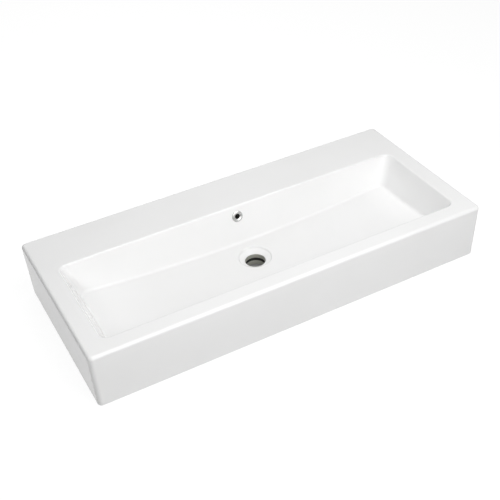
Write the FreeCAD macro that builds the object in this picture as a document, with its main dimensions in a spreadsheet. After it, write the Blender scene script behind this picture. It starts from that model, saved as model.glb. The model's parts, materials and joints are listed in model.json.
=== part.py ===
"""Countertop basin: a ceramic trough with a rear deck, an open waste hole and an overflow trim.

Millimetres. +X runs along the basin, +Y to the wall behind it and +Z up.
The origin is the middle of the footprint, on the surface that the basin stands on.
"""

import FreeCAD, Part
import os
import re
import Sketcher

# Driving dimensions. A name that ends in share is a plain ratio.
SIZES = {
    # Outer block
    "basin_width": 1000,
    "basin_depth": 450,
    "basin_height": 142,
    "wall_taper": 3.6,
    "corner_radius": 11,
    "top_edge_radius": 8,
    "foot_edge_radius": 1.5,
    # Ceramic thickness
    "apron_wall": 11,
    "rim_thickness": 13,
    "bowl_wall": 10,
    "floor_thickness": 11,
    "hollow_fillet_radius": 8,
    "foot_inner_radius": 3,
    # Bowl
    "side_rim": 45.5,
    "front_rim": 42.8,
    "rear_deck": 132.2,
    "end_lean_share": 0.4,
    "long_lean_share": 0.28,
    "bowl_corner_radius": 20,
    "bowl_edge_radius": 5,
    "floor_height": 46,
    "floor_long_radius": 4900,
    "floor_cross_radius": 1100,
    "crease_radius": 9,
    # Waste hole
    "drain_from_back": 225,
    "drain_hole_diameter": 50,
    "drain_edge_radius": 2,
    "drain_recess_diameter": 78,
    "drain_recess_depth": 10.5,
    "drain_seat_fall": 6.5,
    "drain_step_lean_share": 0.4,
    "drain_shoulder_radius": 4,
    "drain_ledge_radius": 2.5,
    "drain_boss_diameter": 98,
    "drain_boss_clearance": 3,
    "drain_boss_edge_radius": 4,
    "drain_sill": 12.5,
    "drain_cavity_height": 8,
    "drain_cavity_diameter": 66,
    # Overflow passage
    "overflow_drop": 26.5,
    "overflow_hole_diameter": 22,
    "duct_width": 46,
    "duct_gap": 12,
    "duct_skin": 8,
    "duct_headroom": 13,
    "duct_edge_radius": 6,
    # Overflow trim
    "trim_seat_gap": 0.05,
    "trim_fit_gap": 0.05,
    "gasket_thickness": 0.8,
    "gasket_diameter": 26,
    "ring_diameter": 28,
    "ring_bore_diameter": 12.6,
    "ring_thickness": 2.6,
    "ring_lip_width": 0.8,
    "ring_lip_gap": 0.3,
    "ring_edge_height": 1,
    "ring_crest_diameter": 22,
    "ring_mouth_depth": 1.6,
    "ring_edge_radius": 1.4,
    "ring_crest_radius": 3,
    "ring_mouth_radius": 1.2,
    "tube_diameter": 17.6,
    "tube_length": 14,
    "tube_bead_width": 1,
    "tube_bead_diameter": 20.6,
    "collar_slot_width": 2.4,
    "collar_slot_length": 9,
    "collar_split_width": 1.6,
    # Making
    "cut_overrun": 20,
    "match_tolerance": 0.001,
}
COLLAR_SLOTS = 4

# Places that more than one feature uses, as formulas of the sizes
FLAT = "0"
DRAIN_Y = "(basin_depth / 2 - drain_from_back)"
SEAT_Z = "(floor_height - drain_recess_depth)"
CAVITY_FOOT = "(drain_boss_clearance + drain_sill)"
CAVITY_TOP = f"({CAVITY_FOOT} + drain_cavity_height)"
OVERFLOW_Y = "(basin_depth / 2 - rear_deck - overflow_drop * long_lean_share)"
OVERFLOW_Z = "(basin_height - overflow_drop)"
DUCT_TOP = f"({OVERFLOW_Z} + duct_headroom)"
END_STRETCH = "sqrt(1 + end_lean_share ^ 2)"
LONG_STRETCH = "sqrt(1 + long_lean_share ^ 2)"
GASKET_TOP = "(trim_seat_gap + gasket_thickness)"
RING_TOP = f"({GASKET_TOP} + ring_thickness)"

# Point numbers that sketches use
ORIGIN = -1
START, END, CENTRE = range(1, 4)
X_AXIS = FreeCAD.Vector(1, 0, 0)
Z_AXIS = FreeCAD.Vector(0, 0, 1)
QUARTER_TURN = 90
FULL_TURN = 360

doc = FreeCAD.newDocument("countertop_basin")
sheet = doc.addObject("Spreadsheet::Sheet", "Sizes")
for row, (alias, value) in enumerate(SIZES.items(), start=1):
    sheet.set(f"A{row}", alias)
    sheet.set(f"B{row}", str(value))
    sheet.setAlias(f"B{row}", alias)
doc.recompute()


def bound(text):
    """Give a formula with the sheet's name before each size."""
    return re.sub(r"[a-z]\w+", lambda word: f"Sizes.{word[0]}" if word[0] in SIZES else word[0], text)


probe = doc.addObject("App::FeaturePython", "formula_probe")


def number(text):
    """Give a formula's value at the present sizes."""
    return float(probe.evalExpression(bound(text)))


def new_body(name):
    body = doc.addObject("PartDesign::Body", name)
    body.Label = name
    return body


def origin_part(body, role):
    """Give a body's own origin plane or axis."""
    return next(part for part in body.Origin.OriginFeatures if part.Role == role)


# Sketches

def new_sketch(body, name, plane):
    sketch = body.newObject("Sketcher::SketchObject", name)
    sketch.AttachmentSupport = (origin_part(body, plane), [""])
    sketch.MapMode = "FlatFace"
    return sketch


def set_size(sketch, kind, places, text):
    """Add one dimension that follows a formula."""
    index = sketch.addConstraint(Sketcher.Constraint(kind, *places, number(text)))
    sketch.setExpression(f"Constraints[{index}]", bound(text))


def pin_point(sketch, edge, point, across, up):
    """Hold a sketch point at two formulas, measured from the origin."""
    set_size(sketch, "DistanceX", (ORIGIN, START, edge, point), across)
    set_size(sketch, "DistanceY", (ORIGIN, START, edge, point), up)


def polygon(body, name, plane, corners):
    """Draw a closed outline through corners that are pairs of formulas."""
    sketch = new_sketch(body, name, plane)
    points = [FreeCAD.Vector(number(across), number(up), 0) for across, up in corners]
    following = points[1:] + points[:1]
    for start, end in zip(points, following):
        sketch.addGeometry(Part.LineSegment(start, end), False)
    for edge, (across, up) in enumerate(corners):
        pin_point(sketch, edge, START, across, up)
        sketch.addConstraint(Sketcher.Constraint("Coincident", edge, END, (edge + 1) % len(corners), START))
    return sketch


def circle(body, name, plane, across, up, diameter):
    sketch = new_sketch(body, name, plane)
    centre = FreeCAD.Vector(number(across), number(up), 0)
    sketch.addGeometry(Part.Circle(centre, Z_AXIS, number(diameter) / 2), False)
    pin_point(sketch, 0, CENTRE, across, up)
    set_size(sketch, "Diameter", (0,), diameter)
    return sketch


# Features

def add_feature(body, kind, name, profile):
    feature = body.newObject(f"PartDesign::{kind}", name)
    feature.Profile = (profile, [""])
    return feature


def extrude(body, kind, name, profile, length):
    """Pad or pocket a sketch to both sides, over a length in all."""
    feature = add_feature(body, kind, name, profile)
    feature.SideType = "Symmetric"
    feature.setExpression("Length", bound(length))
    return feature


def spin(body, kind, name, profile, axis):
    """Revolve or groove a sketch by a full turn about one of its axes."""
    feature = add_feature(body, kind, name, profile)
    feature.ReferenceAxis = (profile, [axis])
    feature.Angle = FULL_TURN
    return feature


def cut_checked(body, make):
    """Make a cutting feature and see that it takes something away."""
    doc.recompute()
    before = body.Shape.Volume
    feature = make()
    doc.recompute()
    if body.Shape.Volume >= before:
        raise ValueError(f"{feature.Name} cut nothing")
    return feature


def combine(body, name, kind, tools):
    feature = body.newObject("PartDesign::Boolean", name)
    feature.Type = kind
    feature.setObjects(tools)
    doc.recompute()
    return feature


def round_edges(body, name, radius, wanted):
    """Round the edges of a body that pass a test."""
    doc.recompute()
    base = body.Tip
    edges = [f"Edge{index}" for index, edge in enumerate(base.Shape.Edges, start=1) if wanted(edge)]
    if not edges:
        raise ValueError(f"{name} found no edge")
    fillet = body.newObject("PartDesign::Fillet", name)
    fillet.Base = (base, edges)
    fillet.setExpression("Radius", bound(radius))
    doc.recompute()
    return fillet


def is_upright(edge):
    """Tell the corner edges of a block from its level ones."""
    return edge.BoundBox.ZLength > number("match_tolerance")


def at_height(text):
    """Make a test for edges that lie level at a height."""
    height = number(text)
    slack = number("match_tolerance")

    def wanted(edge):
        return abs(edge.BoundBox.ZMin - height) < slack and abs(edge.BoundBox.ZMax - height) < slack
    return wanted


def hoop(height, radius):
    """Make a test for whole circles at a height that have one radius."""
    level = at_height(height)
    size = number(radius)
    slack = number("match_tolerance")

    def wanted(edge):
        return level(edge) and isinstance(edge.Curve, Part.Circle) and abs(edge.Curve.Radius - size) < slack
    return wanted


def around_drain(low, high, radius):
    """Make a test for edges round the drain's axis, between two heights and within a radius."""
    limits = (number(low), number(high))
    reach = number(radius)
    side = number(DRAIN_Y)

    def wanted(edge):
        box = edge.BoundBox
        level = limits[0] < box.ZMin and box.ZMax < limits[1]
        return level and max(abs(box.XMin), abs(box.XMax), abs(box.YMin - side), abs(box.YMax - side)) < reach
    return wanted


# Blocks with leaning walls

def tapered_block(body, name, foot, top):
    """A block between two level sections, each given as height, half width, front and rear."""
    block = body.newObject("PartDesign::AdditiveWedge", name)
    block.Placement = FreeCAD.Placement(FreeCAD.Vector(), FreeCAD.Rotation(X_AXIS, QUARTER_TURN))
    for section, height, mark in ((foot, "Ymin", ""), (top, "Ymax", "2")):
        block.setExpression(height, bound(section[0]))
        block.setExpression(f"X{mark}min", bound(f"-({section[1]})"))
        block.setExpression(f"X{mark}max", bound(section[1]))
        block.setExpression(f"Z{mark}min", bound(f"-({section[3]})"))
        block.setExpression(f"Z{mark}max", bound(f"-({section[2]})"))
    return block


def apron_section(height, inset):
    """A level section through the apron's four faces, moved inward by an inset."""
    lean = f"wall_taper * (1 - ({height}) / basin_height)"
    half_width = f"(basin_width / 2 - {lean} - {inset})"
    front = f"({inset} + {lean} - basin_depth / 2)"
    rear = f"(basin_depth / 2 - {inset})"
    return height, half_width, front, rear


def bowl_section(height, wall):
    """A level section through the bowl's four walls, moved outward by a wall's thickness."""
    drop = f"(basin_height - ({height}))"
    half_width = f"(basin_width / 2 - side_rim - {drop} * end_lean_share + {wall} * {END_STRETCH})"
    front = f"(front_rim - basin_depth / 2 + {drop} * long_lean_share - {wall} * {LONG_STRETCH})"
    return height, half_width, front, behind_wall(wall, height)


def behind_wall(depth, height):
    """The place, in Y, of a point that lies some depth behind the bowl's rear wall."""
    lean = f"(basin_height - ({height})) * long_lean_share"
    return f"(basin_depth / 2 - rear_deck - {lean} + ({depth}) * {LONG_STRETCH})"


# The spaces in the ceramic

def floor_dish(name, thickness):
    """Everything above the bowl's floor, which falls to the drain from its ends and its long sides."""
    body = new_body(name)
    sketch = new_sketch(body, f"{name}_outline", "YZ_Plane")
    radius = f"(floor_cross_radius + {thickness})"
    centre_z = "(floor_height + floor_cross_radius)"
    top = "(basin_height + 2 * cut_overrun)"
    limits = ("-basin_depth", "basin_depth")
    sides = [number(limit) for limit in limits]
    centre = FreeCAD.Vector(number(DRAIN_Y), number(centre_z), 0)
    whole = Part.Circle(centre, Z_AXIS, number(radius))
    feet = [centre.y - (number(radius) ** 2 - (side - centre.x) ** 2) ** 0.5 for side in sides]
    ends = [FreeCAD.Vector(side, foot, 0) for side, foot in zip(sides, feet)]
    tops = [FreeCAD.Vector(side, number(top), 0) for side in sides]
    arc, right_side, top_line, left_side = outline = range(4)
    sketch.addGeometry(Part.ArcOfCircle(whole, whole.parameter(ends[0]), whole.parameter(ends[1])), False)
    for start, end in ((ends[1], tops[1]), (tops[1], tops[0]), (tops[0], ends[0])):
        sketch.addGeometry(Part.LineSegment(start, end), False)
    pin_point(sketch, arc, CENTRE, DRAIN_Y, centre_z)
    set_size(sketch, "Radius", (arc,), radius)
    for edge in outline:
        following = outline[(edge + 1) % len(outline)]
        sketch.addConstraint(Sketcher.Constraint("Coincident", edge, END, following, START))
    pin_point(sketch, top_line, START, limits[1], top)
    pin_point(sketch, top_line, END, limits[0], top)
    for edge in (right_side, left_side):
        sketch.addConstraint(Sketcher.Constraint("Vertical", edge))
    axis_z = "(floor_height + floor_long_radius)"
    axis_ends = [FreeCAD.Vector(side, number(axis_z), 0) for side in sides]
    axis = sketch.addGeometry(Part.LineSegment(*axis_ends), True)
    pin_point(sketch, axis, START, limits[0], axis_z)
    pin_point(sketch, axis, END, limits[1], axis_z)
    dish = add_feature(body, "Revolution", f"{name}_sweep", sketch)
    dish.ReferenceAxis = (sketch, ["Axis0"])
    dish.setExpression("Angle", bound("2 * asin(basin_width / floor_long_radius)"))
    dish.Midplane = True
    doc.recompute()
    return body


def bowl_form(name, wall, thickness):
    """The bowl's inside, grown outward by a wall and downward by a floor's thickness."""
    body = new_body(name)
    foot = bowl_section(FLAT, wall)
    top = bowl_section("basin_height + cut_overrun", wall)
    tapered_block(body, f"{name}_walls", foot, top)
    round_edges(body, f"{name}_corners", f"bowl_corner_radius + {wall}", is_upright)
    combine(body, f"{name}_floor", "Common", [floor_dish(f"{name}_dish", thickness)])
    floors = [face for face in body.Tip.Shape.Faces if isinstance(face.Surface, Part.Toroid)]
    floor_edges = [edge for face in floors for edge in face.Edges]
    round_edges(body, f"{name}_crease", f"crease_radius + {thickness}",
                lambda edge: any(edge.isSame(other) for other in floor_edges))
    return body


def drain_boss():
    """The thick collar under the floor that the waste hole passes through."""
    body = new_body("drain_boss")
    sketch = circle(body, "drain_boss_outline", "XY_Plane", FLAT, DRAIN_Y, "drain_boss_diameter")
    sketch.setExpression("AttachmentOffset.Base.z", bound("drain_boss_clearance"))
    pad = add_feature(body, "Pad", "drain_boss_pad", sketch)
    pad.setExpression("Length", bound("floor_height - drain_boss_clearance"))
    round_edges(body, "drain_boss_edge", "drain_boss_edge_radius", at_height("drain_boss_clearance"))
    return body


def duct_housing():
    """The outer skin of the overflow passage, behind the rear wall and under the floor."""
    body = new_body("duct_housing")
    back = "bowl_wall + duct_gap + duct_skin"
    top = f"({DUCT_TOP} + duct_skin)"
    low = f"({CAVITY_FOOT} - duct_skin)"
    corners = [
        (behind_wall(FLAT, top), top),
        (behind_wall(back, top), top),
        (behind_wall(back, low), low),
        (DRAIN_Y, low),
        (DRAIN_Y, "floor_height"),
        (behind_wall(FLAT, "floor_height"), "floor_height"),
    ]
    sketch = polygon(body, "duct_housing_outline", "YZ_Plane", corners)
    extrude(body, "Pad", "duct_housing_pad", sketch, "duct_width + 2 * duct_skin")
    rear_face = number(behind_wall(back, low)) - number("match_tolerance")
    round_edges(body, "duct_housing_edges", "duct_edge_radius", lambda edge: edge.BoundBox.YMin > rear_face)
    return body


def underside_space():
    """The hollow under the rim, the deck and the bowl, open at the foot."""
    body = new_body("underside_space")
    foot = apron_section("-cut_overrun", "apron_wall")
    top = apron_section("basin_height - rim_thickness", "apron_wall")
    tapered_block(body, "underside_block", foot, top)
    round_edges(body, "underside_corners", "corner_radius", is_upright)
    round_edges(body, "underside_ceiling", "hollow_fillet_radius", at_height(top[0]))
    shell = bowl_form("bowl_shell", "bowl_wall", "floor_thickness")
    combine(body, "underside_cut", "Cut", [shell, drain_boss(), duct_housing()])
    return body


# Sub-parts

def basin_body():
    """The fired ceramic piece."""
    body = new_body("basin_body")
    tapered_block(body, "outer_block", apron_section(FLAT, FLAT), apron_section("basin_height", FLAT))
    round_edges(body, "outer_corners", "corner_radius", is_upright)
    round_edges(body, "outer_top_edge", "top_edge_radius", at_height("basin_height"))
    round_edges(body, "outer_foot_edge", "foot_edge_radius", at_height(FLAT))
    combine(body, "bowl_cut", "Cut", [bowl_form("bowl_space", FLAT, FLAT)])
    round_bowl_edge(body)
    cut_drain(body)
    combine(body, "underside_opening", "Cut", [underside_space()])
    round_foot(body)
    cut_overflow_passage(body)
    return body


def round_bowl_edge(body):
    """Round the edge where the bowl's walls meet the flat rim."""
    rim = at_height("basin_height")
    opening = bowl_section("basin_height", FLAT)
    half_width, front, rear = [number(text) for text in opening[1:]]
    slack = number("match_tolerance")

    def wanted(edge):
        box = edge.BoundBox
        inside = box.XMax < half_width + slack and box.YMin > front - slack and box.YMax < rear + slack
        return rim(edge) and inside and box.XMin > -half_width - slack
    round_edges(body, "bowl_edge", "bowl_edge_radius", wanted)


def round_foot(body):
    """Round the inner edge of the foot rim."""
    level = at_height(FLAT)
    half_width = number(apron_section(FLAT, "apron_wall")[1]) + number("match_tolerance")
    front, rear = [number(text) for text in apron_section(FLAT, "apron_wall / 2")[2:]]

    def wanted(edge):
        box = edge.BoundBox
        across = max(abs(box.XMin), abs(box.XMax)) < half_width
        return level(edge) and across and front < box.YMin and box.YMax < rear
    round_edges(body, "foot_inner_edge", "foot_inner_radius", wanted)


def cut_drain(body):
    """Sink the seat for a waste, with a step round it, and bore its hole."""
    hole = "drain_hole_diameter / 2"
    foot = "drain_recess_diameter / 2"
    ledge = f"({SEAT_Z} + drain_seat_fall)"
    above = "(floor_height + drain_recess_depth)"
    reach = f"({foot} + ({above} - {ledge}) * drain_step_lean_share)"
    corners = [(FLAT, SEAT_Z), (hole, SEAT_Z), (foot, ledge), (reach, above), (FLAT, above)]
    seat = polygon(body, "drain_seat_outline", "XZ_Plane", corners)
    seat.setExpression("AttachmentOffset.Base.z", bound(f"-{DRAIN_Y}"))
    cut_checked(body, lambda: spin(body, "Groove", "drain_seat", seat, "V_Axis"))
    round_edges(body, "drain_ledge", "drain_ledge_radius", hoop(ledge, foot))
    step_top = around_drain(f"{ledge} + drain_ledge_radius", above, reach)
    round_edges(body, "drain_shoulder", "drain_shoulder_radius", step_top)
    bore = circle(body, "drain_bore_outline", "XY_Plane", FLAT, DRAIN_Y, "drain_hole_diameter")
    cut_checked(body, lambda: extrude(body, "Pocket", "drain_bore", bore, "2 * basin_height"))
    near_seat = around_drain(f"{SEAT_Z} - match_tolerance", f"{SEAT_Z} + match_tolerance", reach)
    round_edges(body, "drain_edge", "drain_edge_radius", near_seat)


def cut_overflow_passage(body):
    """Open the ring round the waste hole, the passage behind the rear wall and the overflow hole."""
    rim = "drain_cavity_diameter / 2"
    corners = [(FLAT, CAVITY_FOOT), (rim, CAVITY_FOOT), (rim, CAVITY_TOP), (FLAT, CAVITY_TOP)]
    ring = polygon(body, "drain_cavity_outline", "XZ_Plane", corners)
    ring.setExpression("AttachmentOffset.Base.z", bound(f"-{DRAIN_Y}"))
    cut_checked(body, lambda: spin(body, "Groove", "drain_cavity", ring, "V_Axis"))
    back = "bowl_wall + duct_gap"
    corners = [
        (behind_wall("bowl_wall", DUCT_TOP), DUCT_TOP),
        (behind_wall(back, DUCT_TOP), DUCT_TOP),
        (behind_wall(back, CAVITY_FOOT), CAVITY_FOOT),
        (DRAIN_Y, CAVITY_FOOT),
        (DRAIN_Y, CAVITY_TOP),
        (behind_wall("bowl_wall", CAVITY_TOP), CAVITY_TOP),
    ]
    duct = polygon(body, "duct_outline", "YZ_Plane", corners)
    cut_checked(body, lambda: extrude(body, "Pocket", "overflow_duct", duct, "duct_width"))
    hole = circle(body, "overflow_hole_outline", "XZ_Plane", FLAT, FLAT, "overflow_hole_diameter")
    hole.AttachmentOffset = FreeCAD.Placement(FreeCAD.Vector(), FreeCAD.Rotation(X_AXIS, -QUARTER_TURN))
    hole.setExpression("AttachmentOffset.Base.y", bound(OVERFLOW_Z))
    hole.setExpression("AttachmentOffset.Base.z", bound(f"-{OVERFLOW_Y}"))
    hole.setExpression("AttachmentOffset.Rotation.Angle", bound("-atan(long_lean_share)"))
    depth = "2 * (bowl_wall + duct_gap / 2)"
    cut_checked(body, lambda: extrude(body, "Pocket", "overflow_hole", hole, depth))


def seat_in_overflow(body):
    """Place a trim piece on the overflow's axis, its own +Z out of the wall into the bowl."""
    body.Placement = FreeCAD.Placement(FreeCAD.Vector(), FreeCAD.Rotation(X_AXIS, QUARTER_TURN))
    body.setExpression("Placement.Base.y", bound(OVERFLOW_Y))
    body.setExpression("Placement.Base.z", bound(OVERFLOW_Z))
    body.setExpression("Placement.Rotation.Angle", bound("90 deg - atan(long_lean_share)"))
    doc.recompute()


def overflow_ring():
    """The trim ring: a domed flange, a flared mouth, and a tube with a bead at its inner end."""
    body = new_body("overflow_ring")
    bore = "ring_bore_diameter / 2"
    tube = "tube_diameter / 2"
    bead = "tube_bead_diameter / 2"
    rim = "ring_diameter / 2"
    lip = "(ring_diameter / 2 - ring_lip_width)"
    crest = "ring_crest_diameter / 2"
    edge_z = f"({GASKET_TOP} + ring_edge_height)"
    mouth_z = f"({RING_TOP} - ring_mouth_depth)"
    corners = [
        (bore, "-tube_length"),
        (bead, "-tube_length"),
        (bead, "tube_bead_width - tube_length"),
        (tube, "tube_bead_width - tube_length"),
        (tube, GASKET_TOP),
        (lip, GASKET_TOP),
        (lip, "ring_lip_gap"),
        (rim, "ring_lip_gap"),
        (rim, edge_z),
        (crest, RING_TOP),
        (bore, mouth_z),
    ]
    sketch = polygon(body, "overflow_ring_outline", "XZ_Plane", corners)
    spin(body, "Revolution", "overflow_ring_turning", sketch, "V_Axis")
    round_edges(body, "overflow_ring_edge", "ring_edge_radius", hoop(edge_z, rim))
    round_edges(body, "overflow_ring_crest", "ring_crest_radius", hoop(RING_TOP, crest))
    round_edges(body, "overflow_ring_mouth", "ring_mouth_radius", hoop(mouth_z, bore))
    seat_in_overflow(body)
    return body


def overflow_gasket():
    """The rubber washer between the ring's flange and the ceramic."""
    body = new_body("overflow_gasket")
    inner = "overflow_hole_diameter / 2"
    outer = "gasket_diameter / 2"
    corners = [
        (inner, "trim_seat_gap"),
        (outer, "trim_seat_gap"),
        (outer, GASKET_TOP),
        (inner, GASKET_TOP),
    ]
    sketch = polygon(body, "overflow_gasket_outline", "XZ_Plane", corners)
    spin(body, "Revolution", "overflow_gasket_turning", sketch, "V_Axis")
    seat_in_overflow(body)
    return body


def overflow_collar():
    """The split collar on the ring's tube, slotted into spring legs that grip the overflow hole."""
    body = new_body("overflow_collar")
    inner = "(tube_diameter / 2 + trim_fit_gap)"
    outer = "(overflow_hole_diameter / 2 - trim_fit_gap)"
    low = "(tube_bead_width + trim_fit_gap - tube_length)"
    high = f"({GASKET_TOP} - trim_fit_gap)"
    corners = [(inner, low), (outer, low), (outer, high), (inner, high)]
    sketch = polygon(body, "overflow_collar_outline", "XZ_Plane", corners)
    spin(body, "Revolution", "overflow_collar_turning", sketch, "V_Axis")
    slot = cut_slot(body, "collar_slot", "collar_slot_width", low, f"({low} + collar_slot_length)")
    legs = body.newObject("PartDesign::PolarPattern", "collar_legs")
    legs.Originals = [slot]
    legs.Axis = (origin_part(body, "Z_Axis"), [""])
    legs.Angle = FULL_TURN
    legs.Occurrences = COLLAR_SLOTS
    body.Tip = legs
    cut_slot(body, "collar_split", "collar_split_width", low, high)
    seat_in_overflow(body)
    return body


def cut_slot(body, name, width, low, high):
    """Cut one slot through one side of the collar, between two heights."""
    half = f"{width} / 2"
    corners = [(f"-{half}", low), (half, low), (half, high), (f"-{half}", high)]
    sketch = polygon(body, f"{name}_outline", "XZ_Plane", corners)

    def make():
        pocket = add_feature(body, "Pocket", name, sketch)
        pocket.setExpression("Length", bound("overflow_hole_diameter"))
        return pocket
    return cut_checked(body, make)


def write_parts(subparts):
    """Check the whole document, then write each sub-part to its file."""
    doc.recompute()
    for thing in doc.Objects:
        if "Invalid" in thing.State or "Error" in thing.State:
            raise ValueError(f"{thing.Name} is {thing.State}")
    for body in subparts:
        if body.Shape.isNull() or not body.Shape.isValid():
            raise ValueError(f"{body.Label} has no valid shape")
    os.makedirs("parts", exist_ok=True)
    for body in subparts:
        body.Shape.exportStep(os.path.join("parts", f"{body.Label}.step"))
        print(body.Label, len(body.Shape.Solids), "solid", round(body.Shape.Volume), "mm3")


write_parts([basin_body(), overflow_ring(), overflow_gasket(), overflow_collar()])
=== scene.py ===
import json
import math

import bmesh
import bpy
import numpy as np
from mathutils import Matrix, Vector


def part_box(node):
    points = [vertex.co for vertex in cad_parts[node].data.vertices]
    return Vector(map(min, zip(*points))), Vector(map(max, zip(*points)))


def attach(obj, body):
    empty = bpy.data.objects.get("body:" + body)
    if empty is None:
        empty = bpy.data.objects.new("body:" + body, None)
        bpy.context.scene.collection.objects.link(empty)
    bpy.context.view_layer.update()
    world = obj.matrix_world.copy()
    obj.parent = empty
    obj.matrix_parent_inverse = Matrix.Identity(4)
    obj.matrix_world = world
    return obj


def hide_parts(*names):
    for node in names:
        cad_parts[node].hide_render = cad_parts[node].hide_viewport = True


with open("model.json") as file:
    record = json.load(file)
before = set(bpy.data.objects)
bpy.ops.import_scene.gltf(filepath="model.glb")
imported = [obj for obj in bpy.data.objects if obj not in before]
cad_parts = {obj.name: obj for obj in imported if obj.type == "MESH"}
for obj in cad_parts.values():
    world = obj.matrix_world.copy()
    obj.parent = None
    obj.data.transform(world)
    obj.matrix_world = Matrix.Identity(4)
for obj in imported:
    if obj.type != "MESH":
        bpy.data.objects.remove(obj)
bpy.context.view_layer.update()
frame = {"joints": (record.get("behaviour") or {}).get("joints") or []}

# Metres and radians throughout, but for the camera's sensor in millimetres and its fit in pixels.
# A name that ends in share is a plain ratio.

# Outer block
HALF_WIDTH = 0.5
FRONT, REAR = -0.225, 0.225
HEIGHT = 0.142

# Apron, rim and hollow
WALL_TAPER = 0.0036
CORNER_RADIUS = 0.011
TOP_EDGE_RADIUS = 0.008
FOOT_EDGE_RADIUS = 0.0015
FOOT_INNER_RADIUS = 0.003
APRON_WALL = 0.011
RIM_THICKNESS = 0.013
CEILING_RADIUS = 0.008

# Bowl
SIDE_RIM = 0.0455
FRONT_RIM = 0.0428
REAR_DECK = 0.1322
END_LEAN_SHARE = 0.4
LONG_LEAN_SHARE = 0.28
END_SLANT_SHARE = math.hypot(1, END_LEAN_SHARE)
LONG_SLANT_SHARE = math.hypot(1, LONG_LEAN_SHARE)
BOWL_CORNER_RADIUS = 0.02
BOWL_EDGE_RADIUS = 0.005
BOWL_WALL = 0.01
FLOOR_HEIGHT = 0.046
FLOOR_THICKNESS = 0.011
FLOOR_LONG_RADIUS = 4.9
FLOOR_CROSS_RADIUS = 1.1
CREASE_RADIUS = 0.009

# Waste hole, on the Z axis
DRAIN_RADIUS = 0.025
DRAIN_EDGE_RADIUS = 0.002
SEAT_RADIUS = 0.039
SEAT_DEPTH = 0.0105
SEAT_FALL = 0.0065
STEP_LEAN_SHARE = 0.4
SHOULDER_RADIUS = 0.004
LEDGE_RADIUS = 0.0025
BOSS_RADIUS = 0.049
BOSS_FOOT = 0.003
BOSS_EDGE_RADIUS = 0.004
CAVITY_RADIUS = 0.033
CAVITY_FOOT = 0.0155
CAVITY_TOP = 0.0235

# Overflow passage
OVERFLOW_DROP = 0.0265
OVERFLOW_RADIUS = 0.011
DUCT_WIDTH = 0.046
DUCT_GAP = 0.012
DUCT_SKIN = 0.008
DUCT_HEADROOM = 0.013
DUCT_EDGE_RADIUS = 0.006

# Overflow trim, measured along its axis from the bowl's wall
SEAT_GAP = 0.00005
FIT_GAP = 0.00005
GASKET_THICKNESS = 0.0008
GASKET_RADIUS = 0.013
RING_RADIUS = 0.014
RING_BORE_RADIUS = 0.0063
RING_THICKNESS = 0.0026
RING_LIP_WIDTH = 0.0008
RING_LIP_GAP = 0.0003
RING_EDGE_HEIGHT = 0.001
RING_CREST_RADIUS = 0.011
RING_MOUTH_DEPTH = 0.0016
RING_EDGE_ROUND = 0.0014
RING_CREST_ROUND = 0.003
RING_MOUTH_ROUND = 0.0012
TUBE_RADIUS = 0.0088
TUBE_LENGTH = 0.014
BEAD_WIDTH = 0.001
BEAD_RADIUS = 0.0103
SMALL_ROUND = 0.0002
COLLAR_SLOTS = 4
SLOT_WIDTH = 0.0024
SLOT_LENGTH = 0.009
SPLIT_WIDTH = 0.0016
COLLAR_NOSE_ROUND = 0.0008
GASKET_TOP = SEAT_GAP + GASKET_THICKNESS
RING_TOP = GASKET_TOP + RING_THICKNESS

# Steps of the meshes
LONG_STEPS = 48
END_STEPS = 14
CORNER_STEPS = 14
ARC_STEPS = 8
FLOOR_STEPS = 18
TURN_STEPS = 128
ROUND_BEVEL_SHARE = 0.5
SMOOTH_LIMIT = math.radians(25)
SAME_POINT = 1e-6

# Order of the ceramic's materials; the third is clay painted dark as the shade inside the overflow passage
GLAZED, RAW, PAINTED_SHADE = range(3)

# Finishes: sizes and depths in metres, colours as linear red, green, blue and alpha
NOISE_LOW_SHARE, NOISE_HIGH_SHARE = 0.3, 0.7
PLAIN_DETAIL = 2.0
CLOUD_SIZE = 0.16
HAZE_SIZE = 0.05
RUN_SIZE, RUN_DEPTH = 0.06, 0.00008
GLAZE_THIN = (0.9, 0.9, 0.896, 1)
GLAZE_THICK = (0.92, 0.92, 0.918, 1)
GLAZE_ROUGHNESS = (0.07, 0.13)
GLAZE_IOR = 1.5
GRAIN_SIZE, GRAIN_DEPTH, GRAIN_DETAIL = 0.0012, 0.00004, 6.0
SLIP_DARK = (0.7, 0.69, 0.65, 1)
SLIP_LIGHT = (0.8, 0.79, 0.76, 1)
# Grey of the ground foot, also painted round the waste hole as shade
CLAY_AND_SHADE_DARK = (0.34, 0.34, 0.3, 1)
CLAY_AND_SHADE_LIGHT = (0.48, 0.48, 0.43, 1)
CLAY_ROUGHNESS = (0.55, 0.8)
# Painted shade: near black for the clay inside the overflow passage, which lies in the dark
PASSAGE_SHADE_DARK = (0.03, 0.03, 0.027, 1)
PASSAGE_SHADE_LIGHT = (0.07, 0.07, 0.062, 1)
POLISH_SIZE, POLISH_DEPTH = 0.00025, 0.000002
SMEAR_SIZE = 0.006
CHROME_DARK = (0.5, 0.5, 0.496, 1)
CHROME_LIGHT = (0.61, 0.61, 0.6, 1)
CHROME_ROUGHNESS = (0.16, 0.26)
RUBBER_GRAIN_SIZE = 0.0006
RUBBER_DARK = (0.022, 0.022, 0.022, 1)
RUBBER_LIGHT = (0.04, 0.04, 0.041, 1)
RUBBER_ROUGHNESS = (0.65, 0.85)
NYLON_DARK = (0.78, 0.77, 0.73, 1)
NYLON_LIGHT = (0.84, 0.83, 0.79, 1)
NYLON_ROUGHNESS = (0.35, 0.5)

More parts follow.
